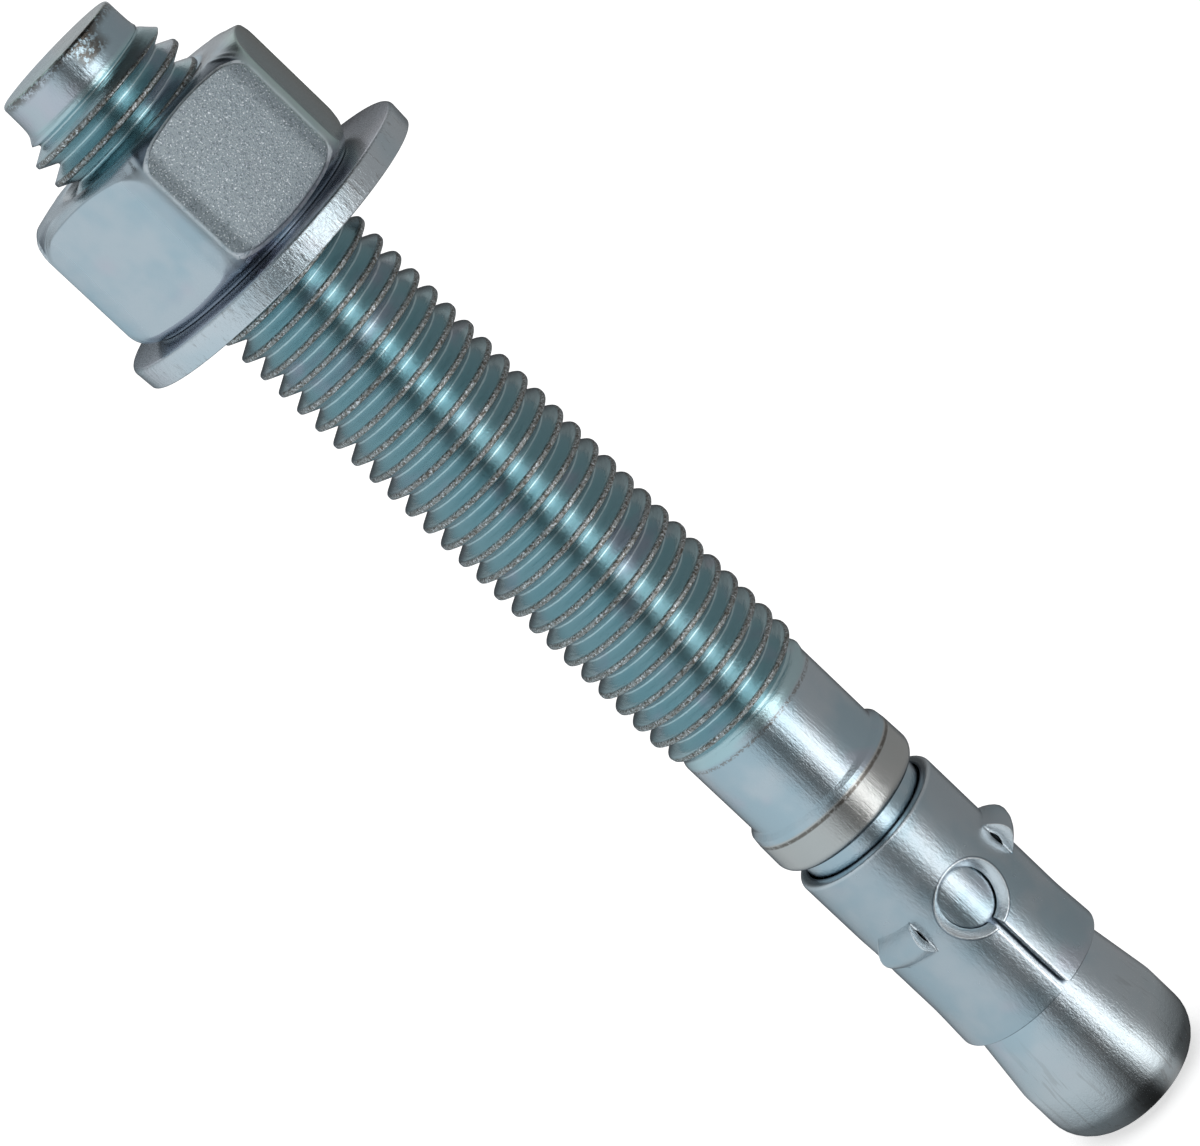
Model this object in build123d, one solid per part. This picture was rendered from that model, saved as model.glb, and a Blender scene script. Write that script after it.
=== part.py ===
from build123d import *
import os
from math import cos, degrees, radians, sin

# Wedge anchor: a stud with a conical tip, an expansion clip round its neck,
# a flat washer and a hex nut. Lengths are in millimetres.
# The stud stands on its tip. Its axis is Z, heights run up from the tip, and
# azimuths run anticlockwise from +X, seen from above.

# Thread: right-hand, 3/4-10 UNC. On the stud it is a row of ridges at the true
# pitch, many-sided to stay light; the nut is bored plain outside its crests.
thread_diameter = 18.75
thread_pitch = 2.54
thread_depth = 1.4
thread_sides = 18
first_crest_height = 2.3
start_chamfer = 1.9
runout_turns = 1.5
thread_end_step = 0.15

# Stud, from the tip up
tip_diameter = 19.0
tip_round = 4.5
tip_land_length = 8.75
cone_length = 12.75
neck_diameter = 15.6
neck_length = 24.05
collar_diameter = 19.0
collar_round = 1.5
collar_band_length = 3.1
collar_bevel_length = 1.1
collar_bevel_depth = 0.15
collar_top_chamfer = 0.7
shank_diameter = 17.3
shank_length = 9.3
threaded_length = 93.6
dog_point_diameter = 15.0
dog_point_length = 3.9
dog_point_chamfer = 0.4

# Expansion clip: rolled sheet steel, open along one seam, slotted twice
clip_height = 25.4
clip_wall = 1.3
clip_neck_clearance = 0.25
clip_cone_clearance = 0.05
clip_flare_height = 6.0
clip_edge_chamfer = 0.7
clip_top_gap = 2.2
slot_azimuth = -78.5
slot_width = 0.9
hole_diameter = 7.6
hole_rim_chamfer = 0.25
hole_below_top = 11.2
seam_width = 0.9
leaf_count = 3
seam_leaf = 1

# Pressed bridges that stand out of the clip, one midway along each leaf
bridge_height = 1.9
bridge_top_below_clip_top = 7.4
bridge_apex_below_clip_top = 9.2
bridge_end_below_clip_top = 13.4
bridge_half_width_angle = 17.0
bridge_apex_round = 0.8

# Hex nut
nut_across_flats = 28.2
nut_height = 16.3
nut_corner_drop = 2.3
nut_bevel_crown = 0.15
nut_corner_azimuth = -99.35
nut_countersink = 0.6
thread_above_nut = 6.6
thread_clearance = 0.1

# Flat washer
washer_diameter = 37.3
washer_thickness = 2.8
washer_bore_clearance = 0.925
washer_rest_gap = 0.15
washer_edge_chamfer = 0.4

# How far a cutter runs past the faces that it cuts
cut_overrun = 1.0

# Heights along the stud
cone_base = tip_land_length
neck_base = cone_base + cone_length
collar_base = neck_base + neck_length
collar_band_top = collar_base + collar_round + collar_band_length
collar_bevel_top = collar_band_top + collar_bevel_length
shank_base = collar_bevel_top + collar_top_chamfer
thread_base = shank_base + shank_length
thread_top = thread_base + threaded_length
anchor_length = thread_top + dog_point_length

# Heights of the loose pieces
nut_top = thread_top - thread_above_nut
nut_base = nut_top - nut_height
washer_base = nut_base - washer_thickness
clip_top = collar_base - clip_top_gap
clip_base = clip_top - clip_height

# Radii that pieces share
thread_radius = thread_diameter / 2
neck_radius = neck_diameter / 2
tip_radius = tip_diameter / 2
shank_radius = shank_diameter / 2
collar_radius = collar_diameter / 2
dog_point_radius = dog_point_diameter / 2
clip_bore_radius = neck_radius + clip_neck_clearance
clip_radius = clip_bore_radius + clip_wall

runout_length = runout_turns * thread_pitch


def revolved(points):
    """A solid of revolution about Z from (radius, height) points."""
    return revolve(make_face(Plane.XZ * Polyline(*points, close=True)), Axis.Z)


def disc(radius, height, base):
    return Pos(0, 0, base) * Cylinder(radius, height, align=(Align.CENTER, Align.CENTER, Align.MIN))


def stud_foot():
    """The turned length from the tip to the top of the plain shank."""
    flat_radius = tip_radius - tip_round
    bevel_radius = collar_radius - collar_bevel_depth
    bend = 1 - cos(radians(45))
    tip_arc = ThreePointArc(
        (flat_radius, 0),
        (tip_radius - tip_round * bend, tip_round * bend),
        (tip_radius, tip_round),
    )
    above_tip = Polyline(
        (tip_radius, tip_round),
        (tip_radius, cone_base),
        (neck_radius, neck_base),
        (neck_radius, collar_base),
        (collar_radius - collar_round, collar_base),
        (collar_radius - collar_round * bend, collar_base + collar_round * bend),
        (collar_radius, collar_base + collar_round),
        (collar_radius, collar_band_top),
        (bevel_radius, collar_bevel_top),
        (shank_radius, shank_base),
        (shank_radius, thread_base),
        (0, thread_base),
        (0, 0),
        (flat_radius, 0),
    )
    outline = Wire([tip_arc, *above_tip.edges()])
    return revolve(make_face(Plane.XZ * outline), Axis.Z)


def thread_sections():
    """Radius and height of each crest and root, from the run-out to the start chamfer."""
    chamfer_slope = (thread_radius - dog_point_radius) / start_chamfer
    sections = [(shank_radius - thread_end_step, thread_base)]
    height = thread_base + first_crest_height
    is_crest = True
    while height < thread_top - thread_pitch / 4:
        formed = min(1, (height - thread_base) / runout_length)
        formed_radius = thread_radius if is_crest else thread_radius - thread_depth
        radius = shank_radius + (formed_radius - shank_radius) * formed
        start_radius = dog_point_radius + (thread_top - height) * chamfer_slope
        sections.append((min(radius, start_radius), height))
        height += thread_pitch / 2
        is_crest = not is_crest
    sections.append((dog_point_radius + thread_end_step, thread_top))
    return sections


def thread_corners(radius, height):
    """The corners of one many-sided section of the thread."""
    turns = [radians(360 / thread_sides * side) for side in range(thread_sides)]
    return [Vector(radius * cos(turn), radius * sin(turn), height) for turn in turns]


def stud_thread():
    """The threaded length: flat-sided rings between neighbouring sections."""
    rows = [thread_corners(radius, height) for radius, height in thread_sections()]
    faces = [Face(Wire.make_polygon(rows[0])), Face(Wire.make_polygon(rows[-1]))]
    for lower, upper in zip(rows, rows[1:]):
        for side in range(thread_sides):
            beside = (side + 1) % thread_sides
            corners = [lower[side], lower[beside], upper[beside], upper[side]]
            faces.append(Face(Wire.make_polygon(corners)))
    return Solid(Shell(faces))


def dog_point():
    """The plain reduced end above the thread, with its bevelled rim."""
    end_face_radius = dog_point_radius - dog_point_chamfer
    return revolved(
        [
            (0, thread_top),
            (dog_point_radius, thread_top),
            (dog_point_radius, anchor_length - dog_point_chamfer),
            (end_face_radius, anchor_length),
            (0, anchor_length),
        ]
    )


def anchor_body():
    """The stud: one piece from the conical tip to the dog point."""
    return stud_foot() + stud_thread() + dog_point()


def cone_radius_at(height):
    """Radius of the tip's cone at a height between its two ends."""
    share = (neck_base - height) / cone_length
    return neck_radius + share * (tip_radius - neck_radius)


def clip_tube():
    """The clip's rolled wall, flared at the bottom to follow the cone."""
    seat_radius = cone_radius_at(clip_base) + clip_cone_clearance
    flare_top = clip_base + clip_flare_height
    return revolved(
        [
            (seat_radius, clip_base),
            (seat_radius + clip_wall, clip_base),
            (clip_radius, flare_top),
            (clip_radius, clip_top - clip_edge_chamfer),
            (clip_radius - clip_edge_chamfer, clip_top),
            (clip_bore_radius, clip_top),
            (clip_bore_radius, flare_top),
        ]
    )


def clip_bridge():
    """One pressed bridge, centred on +X: steep above its apex and long below it."""
    top = clip_top - bridge_top_below_clip_top
    apex = clip_top - bridge_apex_below_clip_top
    end = clip_top - bridge_end_below_clip_top
    outside = clip_radius + bridge_height
    corners = Polyline(
        (clip_radius, top),
        (outside, apex),
        (clip_radius, end),
        (clip_bore_radius, end),
        (outside - clip_wall, apex),
        (clip_bore_radius, top),
        close=True,
    )
    section = make_face(corners)
    peaks = [v for v in section.vertices() if abs(v.Y - apex) < 1e-6]
    section = fillet(peaks, bridge_apex_round)
    strip = revolve(Plane.XZ * section, Axis.Z, 2 * bridge_half_width_angle)
    return Rot(0, 0, -bridge_half_width_angle) * strip


def wall_sector(width_angle, low, high):
    """A cutter for a sector of the clip's wall between two heights, centred on +X."""
    inside = neck_radius - cut_overrun
    outside = clip_radius + bridge_height + cut_overrun
    corners = [(inside, low), (outside, low), (outside, high), (inside, high)]
    section = make_face(Plane.XZ * Polyline(*corners, close=True))
    return Rot(0, 0, -width_angle / 2) * revolve(section, Axis.Z, width_angle)


def bridge_window():
    """The sector of wall that one bridge is lanced from."""
    top = clip_top - bridge_top_below_clip_top
    end = clip_top - bridge_end_below_clip_top
    return wall_sector(2 * bridge_half_width_angle, end, top)


def clip_slot():
    """The cutter for one round hole and the slot that runs from it to the bottom edge, on +X."""
    hole_height = clip_top - hole_below_top
    hole = Pos(0, 0, hole_height) * Rot(0, 90, 0) * Cylinder(
        hole_diameter / 2, 2 * clip_radius, align=(Align.CENTER, Align.CENTER, Align.MIN)
    )
    slot = wall_sector(degrees(slot_width / clip_radius), clip_base - cut_overrun, hole_height)
    return hole + slot


def clip_seam():
    """The cutter for the open seam, where the rolled sheet's two ends face each other, on +X."""
    seam_angle = degrees(seam_width / clip_radius)
    return wall_sector(seam_angle, clip_base - cut_overrun, clip_top + cut_overrun)


def expansion_clip():
    """The clip: three leaves joined at the top, two slots with round holes and one open seam."""
    step = 360 / leaf_count
    clip = clip_tube()
    for leaf in range(leaf_count):
        gap = clip_seam() if leaf == seam_leaf else clip_slot()
        clip -= Rot(0, 0, slot_azimuth + leaf * step) * gap
    rims = [
        edge
        for edge in clip.edges()
        if edge.geom_type != GeomType.LINE
        and edge.geom_type != GeomType.CIRCLE
        and (edge @ 0.5).Z > clip_base + clip_flare_height
        and Vector((edge @ 0.5).X, (edge @ 0.5).Y, 0).length > clip_radius - clip_wall / 2
    ]
    clip = chamfer(rims, hole_rim_chamfer)
    for leaf in range(leaf_count):
        turn = Rot(0, 0, slot_azimuth + (leaf + 0.5) * step)
        clip -= turn * bridge_window()
        clip += turn * clip_bridge()
    return clip


def nut_bevels():
    """The turned blank that rounds off the hexagon's corners with a crowned bevel at each end."""
    face_radius = nut_across_flats / 2
    corner_radius = face_radius / cos(radians(30))
    reach = corner_radius + cut_overrun
    rise = nut_corner_drop * (reach - face_radius) / (corner_radius - face_radius)
    middle = (face_radius + reach) / 2 + nut_bevel_crown
    crown = rise / 2 - nut_bevel_crown
    section = Wire(
        [
            Line((0, nut_base), (face_radius, nut_base)),
            Bezier((face_radius, nut_base), (middle, nut_base + crown), (reach, nut_base + rise)),
            Line((reach, nut_base + rise), (reach, nut_top - rise)),
            Bezier((reach, nut_top - rise), (middle, nut_top - crown), (face_radius, nut_top)),
            Line((face_radius, nut_top), (0, nut_top)),
            Line((0, nut_top), (0, nut_base)),
        ]
    )
    return revolve(make_face(Plane.XZ * section), Axis.Z)


def hex_nut():
    """The nut: a hexagon bevelled at both ends, bored to run on the stud's thread."""
    corner_radius = nut_across_flats / 2 / cos(radians(30))
    hexagon = Rot(0, 0, nut_corner_azimuth) * RegularPolygon(corner_radius, 6)
    prism = Pos(0, 0, nut_base) * extrude(hexagon, nut_height)
    bore_radius = thread_radius + thread_clearance
    mouth_radius = bore_radius + nut_countersink
    bore = revolved(
        [
            (0, nut_base),
            (mouth_radius, nut_base),
            (bore_radius, nut_base + nut_countersink),
            (bore_radius, nut_top - nut_countersink),
            (mouth_radius, nut_top),
            (0, nut_top),
        ]
    )
    return (prism & nut_bevels()) - bore


def flat_washer():
    """The washer: loose on the thread, so it lies against one side of it, on +X."""
    bore_radius = thread_radius + washer_bore_clearance
    offset = washer_bore_clearance - washer_rest_gap
    ring = disc(washer_diameter / 2, washer_thickness, washer_base)
    ring = chamfer(ring.edges().sort_by(Axis.Z)[-1], washer_edge_chamfer)
    ring -= disc(bore_radius, washer_thickness + 2 * cut_overrun, washer_base - cut_overrun)
    return Pos(offset, 0, 0) * ring


pieces = {
    "anchor_body": anchor_body,
    "expansion_clip": expansion_clip,
    "hex_nut": hex_nut,
    "flat_washer": flat_washer,
}

os.makedirs("parts", exist_ok=True)
for name, make in pieces.items():
    piece = make()
    solids = piece.solids()
    export_step(Compound(solids) if len(solids) > 1 else solids[0], f"parts/{name}.step")
    print(name, "solids", len(solids), "volume", round(piece.volume, 1))
print("anchor length", round(anchor_length, 2))
print("nut base", round(nut_base, 3), "washer base", round(washer_base, 3))
print("clip from", round(clip_base, 3), "to", round(clip_top, 3))
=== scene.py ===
from math import ceil, cos, floor, pi, radians, sin, tan

import bmesh
import bpy
import numpy as np
from mathutils import Matrix, Vector


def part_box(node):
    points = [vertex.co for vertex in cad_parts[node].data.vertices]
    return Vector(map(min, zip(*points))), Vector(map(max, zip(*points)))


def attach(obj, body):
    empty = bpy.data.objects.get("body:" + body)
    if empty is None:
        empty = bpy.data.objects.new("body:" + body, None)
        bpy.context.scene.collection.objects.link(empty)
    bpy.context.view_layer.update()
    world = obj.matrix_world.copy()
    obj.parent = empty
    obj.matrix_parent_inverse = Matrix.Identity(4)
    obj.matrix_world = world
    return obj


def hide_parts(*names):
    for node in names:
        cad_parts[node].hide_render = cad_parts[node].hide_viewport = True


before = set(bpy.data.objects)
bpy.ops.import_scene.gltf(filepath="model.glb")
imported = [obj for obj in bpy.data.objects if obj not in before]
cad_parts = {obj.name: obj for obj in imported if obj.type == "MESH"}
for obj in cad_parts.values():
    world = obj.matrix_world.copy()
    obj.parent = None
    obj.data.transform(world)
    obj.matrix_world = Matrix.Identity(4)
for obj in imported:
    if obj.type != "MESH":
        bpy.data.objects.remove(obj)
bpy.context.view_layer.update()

mm = 0.001  # sizes below are in millimetres, meshes in metres
bpy.context.scene.view_settings.view_transform = "Standard"

studLow, studHigh = (corner.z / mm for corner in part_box("anchor_body"))
clipLow, clipHigh = (corner.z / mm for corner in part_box("expansion_clip"))
nutLow, nutHigh = (corner.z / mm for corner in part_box("hex_nut"))
washerLow, washerHigh = (corner.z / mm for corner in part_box("flat_washer"))

mergeDistance = 0.0002  # points closer than this become one


def newObject(name, data):
    # an object at the origin, linked into the scene
    item = bpy.data.objects.new(name, data)
    bpy.context.scene.collection.objects.link(item)
    return item


def newMesh(name, points, faces):
    # points in millimetres and lists of corner numbers become a mesh
    mesh = bpy.data.meshes.new(name)
    mesh.from_pydata((points.reshape(-1, 3) * mm).tolist(), [], faces)
    return mesh


def gridFaces(rows, columns, firstIndex=0):
    # quads between neighbouring rows and columns of a grid laid out row by row
    low = firstIndex + np.arange(rows - 1)[:, None] * columns + np.arange(columns - 1)[None, :]
    return np.stack([low, low + 1, low + columns + 1, low + columns], axis=-1).reshape(-1, 4)


def joinedGrids(grids):
    # several grids of points become one list of points and one of faces
    points, faces, first = [], [], 0
    for grid in grids:
        rows, columns = grid.shape[:2]
        points.append(grid.reshape(-1, 3))
        faces.append(gridFaces(rows, columns, first))
        first += rows * columns
    return np.concatenate(points), np.concatenate(faces)


def makePiece(name, grids):
    # the grids become one smooth object; coincident points merge and faces turn outwards
    points, faces = joinedGrids(grids)
    mesh = newMesh(name, points, faces.tolist())
    work = bmesh.new()
    work.from_mesh(mesh)
    bmesh.ops.remove_doubles(work, verts=work.verts, dist=mergeDistance * mm)
    bmesh.ops.dissolve_degenerate(work, edges=work.edges, dist=mergeDistance * mm)
    bmesh.ops.recalc_face_normals(work, faces=work.faces)
    work.to_mesh(mesh)
    work.free()
    mesh.polygons.foreach_set("use_smooth", [True] * len(mesh.polygons))
    return newObject(name, mesh)


def roundedOutline(corners, arcSteps=6):
    # corners are (radius, height, rounding); each rounded corner becomes a tangent arc, whose centre
    # lies on the bisector, rounding / sin(half angle) from the corner
    points = np.array([corner[:2] for corner in corners], float)
    nearlyStraight = radians(89)
    outline = [points[0]]
    for index in range(1, len(corners) - 1):
        corner, rounding = points[index], corners[index][2]
        before, after = points[index - 1] - corner, points[index + 1] - corner
        before, after = before / np.linalg.norm(before), after / np.linalg.norm(after)
        halfAngle = np.arccos(np.clip(before @ after, -1, 1)) / 2
        if rounding <= 0 or halfAngle > nearlyStraight:
            outline.append(corner)
            continue
        bisector = (before + after) / np.linalg.norm(before + after)
        centre = corner + bisector * rounding / sin(halfAngle)
        reach = rounding / tan(halfAngle)
        start, end = corner + before * reach - centre, corner + after * reach - centre
        sweep = pi - 2 * halfAngle
        share = np.linspace(0, 1, arcSteps + 1)[:, None]
        arc = (np.sin((1 - share) * sweep) * start + np.sin(share * sweep) * end) / sin(sweep)
        outline.extend(centre + arc)
    outline.append(points[-1])
    return np.array(outline)


def around(radius, azimuths, height, centre=(0.0, 0.0)):
    # points at centre + radius * (cos, sin) of the azimuth, at the given height
    x = centre[0] + radius * np.cos(azimuths)
    y = centre[1] + radius * np.sin(azimuths)
    return np.stack([x, y, height + 0 * x], axis=-1)


def turned(outline, azimuths, centre=(0.0, 0.0)):
    # each outline point (radius, height) swept round the axis through centre
    return around(outline[:, :1], azimuths, outline[:, 1:], centre)


def smoothStep(low, high, value):
    # 0 up to low, 1 from high on, and share^2 * (3 - 2 * share) between them
    share = np.clip((value - low) / (high - low), 0, 1)
    return share * share * (3 - 2 * share)


def arcDrop(share):
    # drop of a unit quarter circle: 0 at share 0, 1 at share 1
    return 1 - np.sqrt(1 - share**2)


# the rolled thread, which the stud and the nut share
thread = {
    "pitch": 2.54,
    "major": 9.245,  # radius over the crests
    "crestFlat": 0.40,
    "crestRound": 0.12,
    "rootRound": 0.20,
    "flankAngle": 28,
    "crestHeight": 1.18,  # height of one crest where it passes azimuth 0
    "roundSteps": 3,
    "flankSteps": 4,
}


def threadProfile():
    # one pitch from crest to crest as places along it and radii: half of a flat crest, an arc, a
    # straight flank and an arc into the root, then the same mirrored
    half, flank = thread["pitch"] / 2, radians(thread["flankAngle"])
    crestRound, rootRound = thread["crestRound"], thread["rootRound"]
    turn = np.linspace(0, pi / 2 - flank, thread["roundSteps"])
    corner = thread["crestFlat"] / 2 - crestRound * tan((pi / 2 - flank) / 2)
    crestPlace = corner + crestRound * np.sin(turn)
    crestRadius = thread["major"] - crestRound * (1 - np.cos(turn))
    depth = (half - thread["crestFlat"] / 2) / tan(flank)
    rootBottom = thread["major"] - depth + rootRound * (1 / sin(flank) - 1)
    rootPlace = half - rootRound * np.sin(turn[::-1])
    rootRadius = rootBottom + rootRound * (1 - np.cos(turn[::-1]))
    share = np.linspace(0, 1, thread["flankSteps"])[1:-1]
    flankPlace = crestPlace[-1] + (rootPlace[0] - crestPlace[-1]) * share
    flankRadius = crestRadius[-1] + (rootRadius[0] - crestRadius[-1]) * share
    place = np.concatenate([[0], crestPlace, flankPlace, rootPlace])
    radius = np.concatenate([[thread["major"]], crestRadius, flankRadius, rootRadius])
    mirrored = slice(-2, 0, -1)
    return np.append(place, 2 * half - place[mirrored]), np.append(radius, radius[mirrored])


def threadGrid(low, high, azimuths, radiusAt):
    # rows follow the helix, height = row + pitch * azimuth / turn, and stop at the two ends
    profilePlace, profileRadius = threadProfile()
    pitch, start = thread["pitch"], thread["crestHeight"]
    turns = np.arange(floor((low - pitch - start) / pitch), ceil((high - start) / pitch) + 1)
    rows = (start + turns[:, None] * pitch + profilePlace[None, :]).reshape(-1)
    rowRadius = np.tile(profileRadius, len(turns))
    height = np.clip(rows[:, None] + pitch * azimuths / (2 * pi), low, high)
    radius = radiusAt(height, rowRadius[:, None] + 0 * height)
    return around(radius, azimuths, height)


stud = {
    "columns": 128,
    "arcSteps": 10,
    "tipRadius": 9.5,
    "tipRound": 4.5,
    "landTop": 8.75,
    "landRound": 9.0,
    "neckRadius": 7.8,
    "neckBase": 21.5,
    "neckRound": 4.0,
    "collarBase": 45.55,
    "collarInner": 0.25,  # rounding in the corner between neck and collar
    "collarRadius": 9.45,
    "collarRound": 1.5,
    "collarTopRadius": 9.33,
    "bandTop": 49.8,
    "bandRound": 0.3,
    "bevelTop": 50.85,
    "bevelIn": 0.13,
    "bevelRound": 0.12,
    "shankBase": 51.5,
    "shankRound": 0.5,
    "shankRadius": 8.57,
    "threadBase": 61.1,
    "runout": 3.8,
    "pointRadius": 7.3,
    "pointRound": 0.45,
    "startMiddle": 154.85,  # where the start chamfer's line meets the dog point
    "startBlend": 0.6,
    "startRows": 8,
    "threadTop": 155.6,
    "endPole": 0.02,  # radius of the small ring round the middle of the end face
}


def startRadius(height):
    # the start chamfer: a 45 degree line that bends smoothly into the dog point,
    # point + (rise + root of rise^2 + blend^2) / 2
    rise = stud["startMiddle"] - height
    return stud["pointRadius"] + (rise + np.sqrt(rise**2 + stud["startBlend"] ** 2)) / 2


def studRadius(height, profileRadius):
    # thread that fades into the shank over its run-out and is cut back by the start chamfer
    fade = smoothStep(stud["threadBase"], stud["threadBase"] + stud["runout"], height)
    faded = stud["shankRadius"] + (profileRadius - stud["shankRadius"]) * fade
    return np.minimum(faded, startRadius(height))


def makeStud():
    # three grids: the outline up to the shank turned round, the thread, and the dog point turned round
    azimuths = np.linspace(0, 2 * pi, stud["columns"] + 1)
    lower = roundedOutline(
        [
            (0, studLow, 0),
            (stud["tipRadius"], studLow, stud["tipRound"]),
            (stud["tipRadius"], stud["landTop"], stud["landRound"]),
            (stud["neckRadius"], stud["neckBase"], stud["neckRound"]),
            (stud["neckRadius"], stud["collarBase"], stud["collarInner"]),
            (stud["collarRadius"], stud["collarBase"], stud["collarRound"]),
            (stud["collarTopRadius"], stud["bandTop"], stud["bandRound"]),
            (stud["collarTopRadius"] - stud["bevelIn"], stud["bevelTop"], stud["bevelRound"]),
            (stud["shankRadius"], stud["shankBase"], stud["shankRound"]),
            (stud["shankRadius"], stud["threadBase"], 0),
        ],
        stud["arcSteps"],
    )
    startHeights = np.linspace(stud["threadTop"], studHigh - stud["pointRound"], stud["startRows"])
    start = np.stack([startRadius(startHeights), startHeights], axis=-1)
    rim = roundedOutline(
        [
            (start[-1, 0], start[-2, 1], 0),
            (start[-1, 0], studHigh, stud["pointRound"]),
            (0, studHigh, 0),
        ]
    )
    upper = np.concatenate([start[:-2], rim[:-1], [[stud["endPole"], studHigh]], rim[-1:]])
    body = threadGrid(stud["threadBase"], stud["threadTop"], azimuths, studRadius)
    return makePiece("studBody", [turned(lower, azimuths), body, turned(upper, azimuths)])


studBody = makeStud()
print("stud", len(studBody.data.polygons), "faces")


nut = {
    "acrossFlats": 28.2,
    "cornerRound": 2.0,
    "cornerAzimuth": -99.35,
    "cornerSpan": 4.5,  # degrees to each side of a corner that have columns close together
    "cornerColumns": 11,
    "flatColumns": 17,
    "endRows": 17,
    "sideRows": 8,
    "topFaceRadius": 11.9,
    "topFaceRing": 11.0,
    "topDrop": 0.34,  # the top bevel's depth at the middle of a flat
    "bottomFaceRadius": 13.3,
    "bottomDrop": 1.0,
    "bossHeight": 0.42,  # the round boss under the nut
    "bossFoot": 0.12,  # how far outside the boss the bevel starts
    # the boss's edge: outwards from its face radius, and depth
    "bossEdge": ((-0.3, 0.0), (-0.1, 0.02), (-0.03, 0.06), (0.0, 0.15), (0.02, 0.34)),
    "dropGrowth": 0.02,
    "roundStart": 5.1,  # where along the flat its corner begins to round, and by what radius
    "roundRadius": 2.5,
    "roundLimit": 0.985,
    "crispDrop": 0.15,  # bevels this shallow have a crisp edge, which softens over the next span
    "softSpan": 2.4,
    "crispPower": 1.6,
    "edgeRound": 0.2,
    "minorRadius": 8.15,
    "clearance": 0.1,
    "countersink": 0.6,
}
mouthRadius = thread["major"] + nut["clearance"] + nut["countersink"]


def nutAzimuths():
    # columns close together at the six rounded corners and further apart on the flats
    span = nut["cornerSpan"]
    corner = np.linspace(-span, span, nut["cornerColumns"])
    flat = np.linspace(span, 60 - span, nut["flatColumns"] + 1)[1:-1]
    sector = np.concatenate([corner, flat])
    turns = np.arange(6)[:, None] * 60
    degrees = np.append((turns + sector).reshape(-1), 360 + sector[0])
    return np.radians(degrees + nut["cornerAzimuth"])


def hexRadius(azimuths):
    # a hexagon with rounded corners: flats at flat / cos, corners on small circles
    step = radians(60)
    fromCorner = np.mod(azimuths - radians(nut["cornerAzimuth"]) + step / 2, step) - step / 2
    flat, rounding = nut["acrossFlats"] / 2, nut["cornerRound"]
    centre = (flat - rounding) / cos(step / 2)
    flatRadius = flat / np.cos(step / 2 - np.abs(fromCorner))
    inside = np.maximum(rounding**2 - (centre * np.sin(fromCorner)) ** 2, 0)
    cornerRadius = centre * np.cos(fromCorner) + np.sqrt(inside)
    # the corner circle meets the flats where their normals agree
    meets = np.abs(centre * np.sin(fromCorner)) < rounding * sin(step / 2)
    return np.where(meets, cornerRadius, flatRadius)


def nutBoreRadius(height, profileRadius):
    # the stud's thread opened by the clearance, cut to the minor radius, with countersunk mouths
    bore = np.maximum(profileRadius + nut["clearance"], nut["minorRadius"])
    fromEnd = np.minimum(height - nutLow, nutHigh - height)
    return np.maximum(bore, mouthRadius - fromEnd)


def nutEnd(outer, faceRadius, middleDrop, step):
    # rows of one end from its face out to the flats, as radius and depth below the face: the bevel
    # ends at middleDrop + growth * along^2 + a rounded corner, where along is the place on the flat
    along = np.sqrt(np.maximum(outer**2 - (nut["acrossFlats"] / 2) ** 2, 0))
    into = np.clip((along - nut["roundStart"]) / nut["roundRadius"], 0, nut["roundLimit"])
    drop = middleDrop + nut["dropGrowth"] * along**2 + nut["roundRadius"] * arcDrop(into)
    # nearly flat with a crisp edge at the middle of a flat, an ellipse at the corners
    share = np.sin(np.linspace(0, pi / 2, nut["endRows"]))[:, None]
    radius = faceRadius + (outer - faceRadius) * share
    weight = np.clip((drop - middleDrop - nut["crispDrop"]) / nut["softSpan"], 0, 1)
    depth = weight * arcDrop(share) + (1 - weight) * share ** nut["crispPower"]
    near = np.clip((radius - outer + nut["edgeRound"]) / nut["edgeRound"], 0, 1)
    edge = nut["edgeRound"] * arcDrop(near) * (1 - weight)
    return radius, step + (drop - step) * depth + edge


def makeNut():
    # rows of one closed shell, from the bottom mouth over the boss, bevel, flats and top bevel to the
    # top mouth, and the threaded bore
    azimuths = nutAzimuths()
    outer = hexRadius(azimuths)
    topRadius, topDepth = nutEnd(outer, nut["topFaceRadius"], nut["topDrop"], 0.0)
    bevelStart = nut["bottomFaceRadius"] + nut["bossFoot"]
    lowRadius, lowDepth = nutEnd(outer, bevelStart, nut["bottomDrop"], nut["bossHeight"])
    bossOut, bossDepth = np.array(nut["bossEdge"]).T[..., None]
    flat = 0 * outer
    side = np.linspace(0, 1, nut["sideRows"] + 2)[1:-1, None]
    lowSide, highSide = nutLow + lowDepth[-1], nutHigh - topDepth[-1]
    topRings = np.array([nut["topFaceRing"], mouthRadius])[:, None]
    rows = [
        (mouthRadius + flat[None], nutLow + flat[None]),
        (nut["bottomFaceRadius"] + bossOut + flat, nutLow + bossDepth + flat),
        (lowRadius, nutLow + lowDepth),
        (outer + 0 * side, lowSide + (highSide - lowSide) * side),
        (topRadius[::-1], (nutHigh - topDepth)[::-1]),
        (topRings + flat, nutHigh + 0 * topRings + flat),
    ]
    radius, height = (np.concatenate(part) for part in zip(*rows))
    bore = threadGrid(nutLow, nutHigh, azimuths, nutBoreRadius)
    return makePiece("nutBody", [around(radius, azimuths, height), bore])


nutBody = makeNut()
print("nut", len(nutBody.data.polygons), "faces")


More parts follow.
